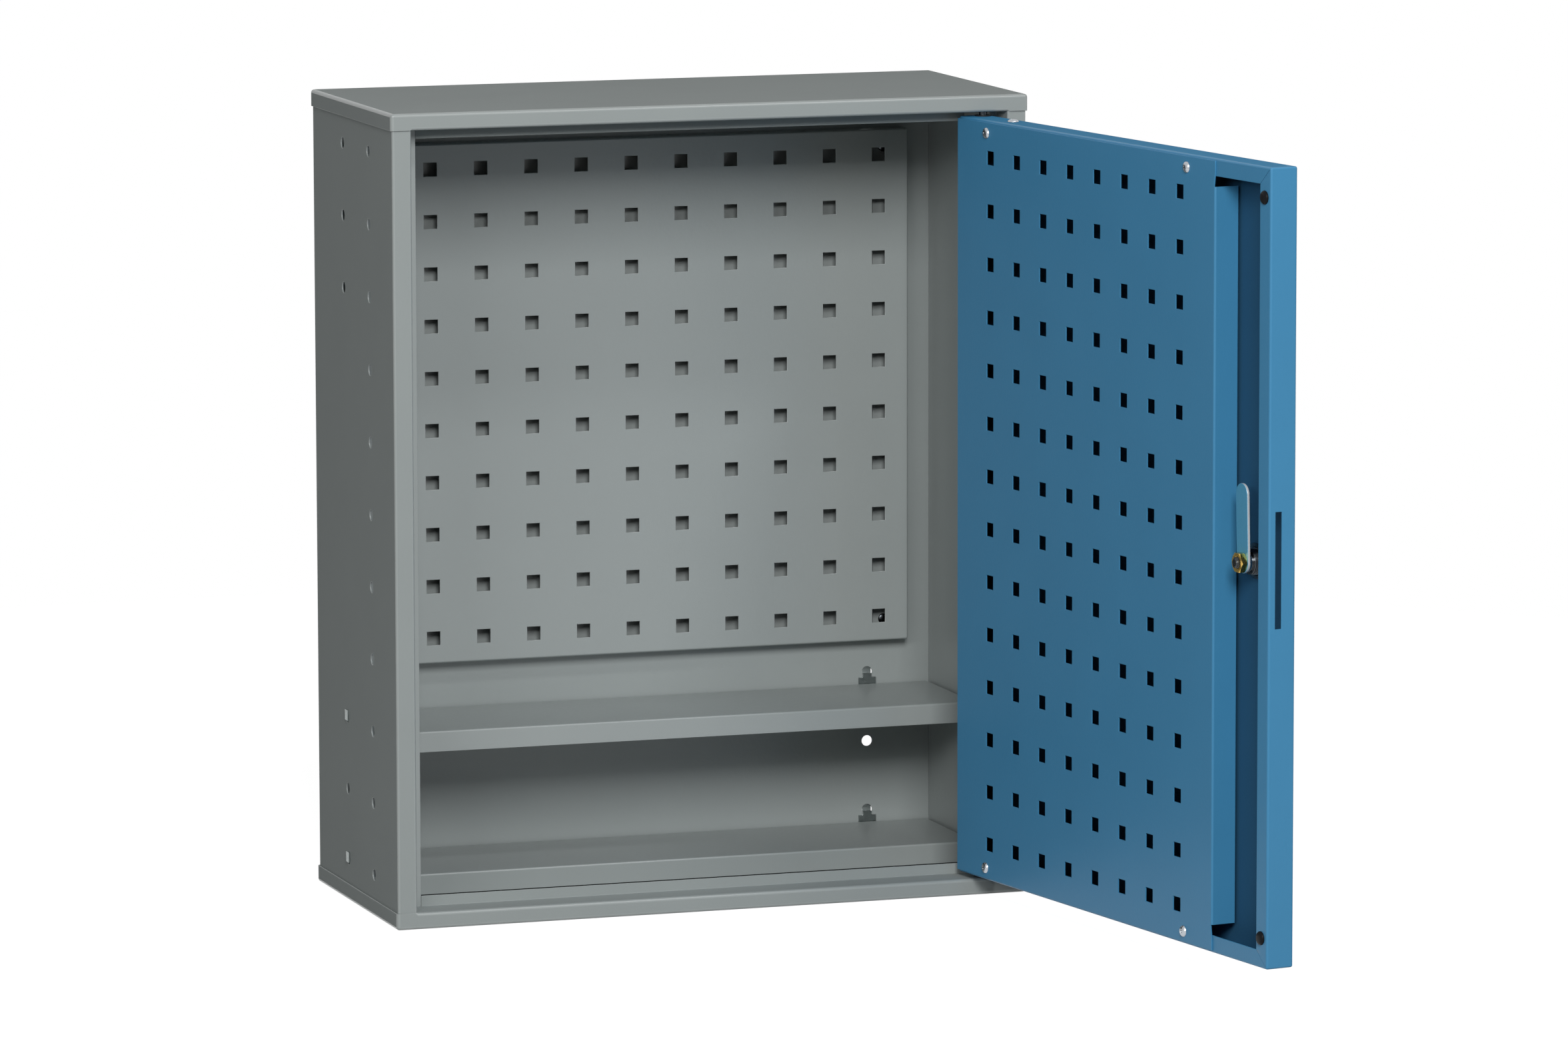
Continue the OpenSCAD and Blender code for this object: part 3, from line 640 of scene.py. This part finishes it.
# The darker blue of painted shade inside the pan, satin on the lips and round the bends, and matt
# on the outer faces
bm = foldedSheet("door_shell", doorSheets, swing, adjust=clearSeams, keepSharp=slanted)
skin = doorCoats["skin"] * mm
outerFace = (1, -1, shellLow.y + skin)
coatBeyond(bm, edgePlanes(doorCoats["roundBends"] * mm) + (outerFace, (1, 1, shellHigh.y - skin)),
           swing, coat=2, flatsOnly=False)
coatBeyond(bm, edgePlanes(skin) + (outerFace,), swing)
finishPiece(bm, "doorShellPan", ["door_shell"], "door",
            (bluePowderPaintedShade, bluePowderOutside, bluePowder))
(low, high), = solidsOf("door_panel", swing)
inset = lipSeam["foldInset"] * mm
bm = foldedSheet("door_panel", doorSheets, swing,
                 partings=(((0, low.x), 2, (low.z + inset, high.z - inset)),))
finishPiece(bm, "doorInnerPanel", ["door_panel"], "door", bluePowder)
print("door made")

# Clips and straps are stamped from strip and plated
clipStamping = {"bend": 0.9, "inside": 0.25, "rim": 0.15}
strapStamping = {"bend": 0.25, "inside": 0.25, "rim": 0.15}
for node, name, body, shape in (("upper_shelf_clips", "upperShelfClips", "cabinet", clipStamping),
                                ("lower_shelf_clips", "lowerShelfClips", "cabinet", clipStamping),
                                ("top_hinge_strap", "topHingeStrap", "door", strapStamping),
                                ("bottom_hinge_strap", "bottomHingeStrap", "door", strapStamping)):
    bm = copyOf(node)
    mergeFlats(bm)
    roundSheet(bm, **shape)
    finishPiece(bm, name, [node], body, dullZinc)
print("clips and straps made")

# Rivets with domed heads on both sides of the wall
rivetShape = {"dome": ((0, 1.1), (1.2, 1.06), (2.4, 0.86), (3.3, 0.55), (3.85, 0.2), (4.0, 0)),
              "shank": 2.0, "steps": 40}
bm = bmesh.new()
for low, high in solidsOf("back_panel_rivets"):
    half = (high.y - low.y) / mm / 2 - rivetShape["dome"][0][1]
    upper = [(r, h + half) for r, h in rivetShape["dome"]] + [(rivetShape["shank"], half)]
    profile = upper + [(r, -h) for r, h in reversed(upper)]
    addShape(bm, turned(profile, steps=rivetShape["steps"]),
             [standing((low + high) / 2, (0, -1, 0))])
finishPiece(bm, "backPanelRivets", ["back_panel_rivets"], "cabinet", darkSteel,
            turnedAngle)


# Foot, direction and height in mm of a round piece of the hinge; the upper ones hang down
def hingeSeat(node):
    low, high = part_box(node)
    up = -1 if node.startswith("top") else 1
    foot = Vector(((low.x + high.x) / 2, (low.y + high.y) / 2, low.z if up > 0 else high.z))
    return foot, (0, 0, up), (high.z - low.z) / mm


# Hinge pins: a shouldered head and a chamfered end, whose points count from the tip
hingePin = {"head": ((0, 0), (5.4, 0), (5.85, 0.15), (6.0, 0.5), (6.0, 1.6), (5.7, 1.95),
                     (5.4, 2.0), (3.0, 2.0)),
            "tip": ((3.0, 0.7), (2.8, 0.3), (2.3, 0), (0, 0))}
for node, name in (("top_hinge_pin", "topHingePin"), ("bottom_hinge_pin", "bottomHingePin")):
    foot, direction, length = hingeSeat(node)
    shape = turned(list(hingePin["head"]) + [(r, length - h) for r, h in hingePin["tip"]])
    bm = addShape(bmesh.new(), shape, [standing(foot, direction)])
    finishPiece(bm, name, [node], "cabinet", darkSteel, turnedAngle)

# Nylon: the thrust washer, and the collared bushes that run on the pins
nylonRing = {"bore": 3.05, "collar": 6.0, "collarHeight": 0.8, "outer": 4.55, "round": 0.15}
bore, collar, outer = nylonRing["bore"], nylonRing["collar"], nylonRing["outer"]
flange, soft = nylonRing["collarHeight"], nylonRing["round"]
nylonFoot = [(bore, soft), (bore + soft, 0), (collar - soft, 0), (collar, soft)]
for node, name, body in (("thrust_washer", "thrustWasher", "cabinet"),
                         ("top_hinge_bush", "topHingeBush", "door"),
                         ("bottom_hinge_bush", "bottomHingeBush", "door")):
    foot, direction, length = hingeSeat(node)
    if node == "thrust_washer":
        upper = [(collar, length - soft), (collar - soft, length)]
    else:
        upper = [(collar, flange - soft), (collar - soft, flange), (outer, flange),
                 (outer, length - 2 * soft), (outer - 2 * soft, length)]
    shape = turned(nylonFoot + upper + [(bore + soft, length), (bore, length - soft)], ring=True)
    bm = addShape(bmesh.new(), shape, [standing(foot, direction)])
    finishPiece(bm, name, [node], body, blackNylonPaintedShade, turnedAngle)
print("rivets and hinges made")

# Pan head screws with a cross recess and a rolled thread, each stopped at its own turn
panScrew = {
    "head": ((0, 2.0), (1.5, 1.96), (2.5, 1.78), (3.3, 1.38), (3.8, 0.8), (4.0, 0.25), (3.95, 0)),
    "core": 1.6, "thread": 2.0, "pitch": 0.8, "length": 8, "tip": (0.6, 0.7),
    "recessArm": (4.2, 0.95), "recessDepth": 1.5, "recessTaper": 0.35,
    "threadEnds": (0.6, 0.1), "turnByPlace": (40, 7), "strapTurn": 0.6,
}
headHeight = panScrew["head"][0][1]


def screwShape():
    core, length = panScrew["core"], panScrew["length"]
    narrow, tall = panScrew["tip"]
    shape = turned(list(panScrew["head"]) + [(core, 0), (core, -length + tall),
                                             (core - narrow, -length), (0, -length)])
    reach, width = panScrew["recessArm"]
    depth = panScrew["recessDepth"]
    for size in ((reach, width, 2 * depth), (width, reach, 2 * depth)):
        recess = boxTool(size, (0, 0, headHeight), taper=panScrew["recessTaper"])
        shape = carved(shape, recess)
    ridge = threadRidge(core, panScrew["thread"], panScrew["pitch"],
                        -length + panScrew["threadEnds"][0], -panScrew["threadEnds"][1])
    return addShape(shape, ridge, [still])


bm = bmesh.new()
for low, high in solidsOf("door_panel_screws", swing):
    middle = (low + high) / 2
    seat = Vector((middle.x, high.y - headHeight * mm, middle.z))
    byX, byZ = panScrew["turnByPlace"]
    twist = Matrix.Rotation(seat.x * byX + seat.z * byZ, 4, "Z")
    addShape(bm, screwShape(), [swing @ standing(seat, (0, 1, 0)) @ twist])
finishPiece(bm, "doorPanelScrews", ["door_panel_screws"], "door", zincPlate, turnedAngle)
bm = bmesh.new()
for low, high in solidsOf("strap_screws", swing):
    middle = (low + high) / 2
    up = 1 if low.z > hingeFoot.z else -1
    seat = Vector((middle.x, middle.y, (high.z if up > 0 else low.z) - up * headHeight * mm))
    twist = Matrix.Rotation(panScrew["strapTurn"], 4, "Z")
    addShape(bm, screwShape(), [swing @ standing(seat, (0, 0, up)) @ twist])
finishPiece(bm, "strapScrews", ["strap_screws"], "door", zincPlate, turnedAngle)

# Rubber buffers: a flattened dome on a stem pushed through the lip
bufferShape = {"dome": ((0, 2.2), (2.0, 2.18), (3.2, 2.0), (4.1, 1.55), (4.6, 0.95), (4.75, 0.4),
                        (4.7, 0)), "stem": 2.0, "stemLength": 2.0, "stemChamfer": 0.5,
               "smoothAngle": 40}
bm = bmesh.new()
for low, high in solidsOf("door_buffers", swing):
    middle = (low + high) / 2
    seat = Vector((middle.x, high.y - bufferShape["dome"][0][1] * mm, middle.z))
    stem, length, cut = (bufferShape[k] for k in ("stem", "stemLength", "stemChamfer"))
    shape = turned(list(bufferShape["dome"]) + [(stem, 0), (stem, -length + cut),
                                                (stem - cut, -length), (0, -length)])
    addShape(bm, shape, [swing @ standing(seat, (0, 1, 0))])
finishPiece(bm, "doorBuffers", ["door_buffers"], "door", mouldedRubber,
            bufferShape["smoothAngle"])
print("screws and buffers made")

# The lock's barrel, with its collar on the outer face and a thread for the clamping nut
lockBarrel = {
    "bore": 6.55, "barrel": 9.5, "threadDepth": 0.35, "pitch": 1.0, "threadEnds": (1.2, 0.2),
    "mouth": ((0, 0.5), (0.5, 0)), "collar": 11.25, "collarHeight": 2.8,
    "collarEdge": ((-1.4, 0), (-0.5, 0.3), (0, 1.0)), "collarBack": 0.2, "endChamfer": 0.5,
    "boreChamfer": 0.4, "steps": 64, "threadSteps": 40,
}
(low, high), = solidsOf("lock_barrel", swing)
lockAxis = Vector(((low.x + high.x) / 2, 0, (low.z + high.z) / 2))


# The place of a lock piece made along Z with its foot at a depth, outer face first
def lockPlace(depth):
    return swing @ standing(Vector((lockAxis.x, depth, lockAxis.z)), (0, 1, 0))


length = (high.y - low.y) / mm
collar, collarTop, back = (lockBarrel[k] for k in ("collar", "collarHeight", "collarBack"))
core, bore = lockBarrel["barrel"] - lockBarrel["threadDepth"], lockBarrel["bore"]
endCut, boreCut = lockBarrel["endChamfer"], lockBarrel["boreChamfer"]
shape = turned([(bore + r, h) for r, h in lockBarrel["mouth"]]
               + [(collar + r, h) for r, h in lockBarrel["collarEdge"]]
               + [(collar, collarTop - back), (collar - back, collarTop), (core, collarTop),
                  (core, length - endCut), (core - endCut, length), (bore + boreCut, length),
                  (bore, length - boreCut)], ring=True, steps=lockBarrel["steps"])
fromCollar, fromEnd = lockBarrel["threadEnds"]
ridge = threadRidge(core, lockBarrel["barrel"], lockBarrel["pitch"], collarTop + fromCollar,
                    length - fromEnd, steps=lockBarrel["threadSteps"])
bm = addShape(bmesh.new(), addShape(shape, ridge, [still]), [lockPlace(low.y)])
coatBeyond(bm, ((1, 1, low.y + collarTop * mm),), swing, flatsOnly=False)
finishPiece(bm, "lockBarrel", ["lock_barrel"], "door", (chromePlate, darkSteel),
            turnedAngle)

# The nut that clamps the barrel
ringNut = {"flats": 24, "chamfer": 0.6, "bore": 9.55, "countersink": 0.5, "steps": 64}
(low, high), = solidsOf("lock_ring_nut", swing)
shape = nutShape(ringNut, (high.y - low.y) / mm)
bm = addShape(bmesh.new(), shape, [lockPlace(low.y)])
finishPiece(bm, "lockRingNut", ["lock_ring_nut"], "door", darkSteel, turnedAngle)

# The plug with its keyway in front and the threaded stud behind
lockPlug = {"plug": 6.5, "frontChamfer": 0.45, "keyway": (1.8, 8), "keywayDepth": 6,
            "stud": 4.0, "studCore": 3.45, "studLength": 10.5, "studChamfer": 0.9,
            "pitch": 1.25, "threadEnds": (0.1, 0.35), "steps": 64, "threadSteps": 32}
(low, high), = solidsOf("lock_plug", swing)
length = (high.y - low.y) / mm
plug, core = lockPlug["plug"], lockPlug["studCore"]
frontCut, studCut = lockPlug["frontChamfer"], lockPlug["studChamfer"]
plugEnd = length - lockPlug["studLength"]
shape = turned([(0, 0), (plug - frontCut, 0), (plug, frontCut), (plug, plugEnd), (core, plugEnd),
                (core, length - studCut), (core - studCut, length), (0, length)],
               steps=lockPlug["steps"])
width, height = lockPlug["keyway"]
shape = carved(shape, boxTool((width, height, 2 * lockPlug["keywayDepth"]), (0, 0, 0)))
fromPlug, fromEnd = lockPlug["threadEnds"]
ridge = threadRidge(core, lockPlug["stud"], lockPlug["pitch"], plugEnd + fromPlug,
                    length - fromEnd, steps=lockPlug["threadSteps"])
bm = addShape(bmesh.new(), addShape(shape, ridge, [still]), [lockPlace(low.y)])
coatBeyond(bm, ((1, 1, low.y + plugEnd * mm),), swing, flatsOnly=False)
finishPiece(bm, "lockPlug", ["lock_plug"], "lock", (chromePlate, darkSteel), turnedAngle)

# The stop washer, the cam and its brass nut
stopWasher = {"lowerHalf": ((4.05, 0.2), (4.25, 0), (6.7, 0), (7.0, 0.3))}
(low, high), = solidsOf("lock_stop_washer", swing)
height = (high.y - low.y) / mm
lowerHalf = list(stopWasher["lowerHalf"])
shape = turned(lowerHalf + [(r, height - h) for r, h in reversed(lowerHalf)], ring=True)
bm = addShape(bmesh.new(), shape, [lockPlace(low.y)])
finishPiece(bm, "lockStopWasher", ["lock_stop_washer"], "lock", chromePlate, turnedAngle)

lockCam = {"edge": 0.35, "rimNormal": 0.7}
bm = copyOf("lock_cam")
mergeFlats(bm)
roundEdges(bm, [e for e in bm.edges if steepHere(e, 1, edgeFinish["bendAngle"])],
           lockCam["edge"], 3)
# the cut rim faces take the near-white edge finish, a painted highlight along the cam's edge
for face in bm.faces:
    if abs(face.normal.dot(doorOut)) < lockCam["rimNormal"]:
        face.material_index = 1
finishPiece(bm, "lockCam", ["lock_cam"], "lock", (blueZinc, cutSteel))

camNut = {"flats": 13, "chamfer": 0.7, "bore": 4.05, "countersink": 0.4, "steps": 48}
(low, high), = solidsOf("lock_cam_nut", swing)
shape = nutShape(camNut, (high.y - low.y) / mm)
bm = addShape(bmesh.new(), shape, [lockPlace(low.y)])
finishPiece(bm, "lockCamNut", ["lock_cam_nut"], "lock", turnedBrass, turnedAngle)
print("lock made")

# Camera at the photograph's place, found from both grids of square holes
viewpoint = {"place": (-1.90565, -5.97648, 1.13975), "yaw": 18.4399, "pitch": -7.9285,
             "roll": 0.1153, "focal": 13179.37, "frameWidth": 2353, "sensor": 36, "far": 100}
yaw, pitch, roll = (math.radians(viewpoint[k]) for k in ("yaw", "pitch", "roll"))
forward = Vector((math.sin(yaw) * math.cos(pitch), math.cos(yaw) * math.cos(pitch),
                  math.sin(pitch)))
level = Vector((math.cos(yaw), -math.sin(yaw), 0))
down = forward.cross(level)
right = level * math.cos(roll) + down * math.sin(roll)
upward = level * math.sin(roll) - down * math.cos(roll)
camera = bpy.data.objects.new("camera", bpy.data.cameras.new("camera"))
scene.collection.objects.link(camera)
camera.matrix_world = (Matrix.Translation(viewpoint["place"])
                       @ Matrix((right, upward, -forward)).transposed().to_4x4())
camera.data.sensor_width = viewpoint["sensor"]
camera.data.lens = viewpoint["sensor"] * viewpoint["focal"] / viewpoint["frameWidth"]
camera.data.clip_end = viewpoint["far"]
scene.camera = camera
scene.view_settings.view_transform = "Standard"

# A soft key lamp in front, high and a little to the left, a weak low one further left, and a small
# high one to the right that draws the bright lines along the bends
lamps = {
    "keyLamp": {"azimuth": -11.5, "elevation": 26.5, "distance": 3.6, "size": (1.0, 1.1),
                "power": 81},
    "fillLamp": {"azimuth": -40, "elevation": 17, "distance": 5.0, "size": (2.0, 0.9),
                 "power": 44},
    "bendLamp": {"azimuth": 28, "elevation": 48, "distance": 3.2, "size": (0.45, 0.3),
                 "power": 17},
}
lampAim = Vector((0, 0, 0.29))
for name, setup in lamps.items():
    azimuth, elevation = math.radians(setup["azimuth"]), math.radians(setup["elevation"])
    toLamp = Vector((math.sin(azimuth) * math.cos(elevation),
                     -math.cos(azimuth) * math.cos(elevation), math.sin(elevation)))
    lampData = bpy.data.lights.new(name, "AREA")
    lampData.shape = "RECTANGLE"
    lampData.size, lampData.size_y = setup["size"]
    lampData.energy = setup["power"]
    lamp = bpy.data.objects.new(name, lampData)
    scene.collection.objects.link(lamp)
    lamp.matrix_world = (Matrix.Translation(lampAim + toLamp * setup["distance"])
                         @ toLamp.to_track_quat("Z", "Y").to_matrix().to_4x4())

# The room: dim to the object, plain white to the eye and in reflections
room = {"ambient": 0.11, "floorRadius": 1.5, "floorDrop": 0.3, "floorColour": "#a8a8a8",
        "floorGlow": 0.93}


# 1 where a ray comes from the camera, a gloss or a clear piece, else 0
def seenDirectly(tree):
    path = addNode(tree, "LightPath")
    either = addNode(tree, "Math", {"operation": "MAXIMUM"},
                     {0: path.outputs["Is Camera Ray"], 1: path.outputs["Is Glossy Ray"]})
    return addNode(tree, "Math", {"operation": "MAXIMUM"},
                   {0: either.outputs[0], 1: path.outputs["Is Transmission Ray"]}).outputs[0]


world = bpy.data.worlds.new("studio")
world.use_nodes = True
tree = world.node_tree
tree.nodes.clear()
strength = addNode(tree, "MapRange", {"To Min": room["ambient"], "To Max": 1.0},
                   {"Value": seenDirectly(tree)})
glow = addNode(tree, "Background", {"Color": (1, 1, 1, 1)},
               {"Strength": strength.outputs["Result"]})
addNode(tree, "OutputWorld", links={"Surface": glow.outputs["Background"]})
scene.world = world

floorMaterial = bpy.data.materials.new("paleStudioFloor")
floorMaterial.use_nodes = True
tree = floorMaterial.node_tree
tree.nodes.clear()
matt = addNode(tree, "BsdfDiffuse", {"Color": linearColour(room["floorColour"])})
lift = addNode(tree, "Math", {"operation": "MULTIPLY", 1: room["floorGlow"]},
               {0: seenDirectly(tree)})
shine = addNode(tree, "Emission", {"Color": (1, 1, 1, 1)}, {"Strength": lift.outputs[0]})
both = addNode(tree, "AddShader", links={0: matt.outputs[0], 1: shine.outputs[0]})
addNode(tree, "OutputMaterial", links={"Surface": both.outputs[0]})

bm = bmesh.new()
bmesh.ops.create_circle(bm, cap_ends=True, segments=64, radius=room["floorRadius"])
bmesh.ops.translate(bm, verts=bm.verts, vec=(0, 0, -room["floorDrop"] * mm))
mesh = bpy.data.meshes.new("studioFloor")
bm.to_mesh(mesh)
bm.free()
mesh.materials.append(floorMaterial)
floor = bpy.data.objects.new("studioFloor", mesh)
scene.collection.objects.link(floor)
print("camera, lamps and floor made")
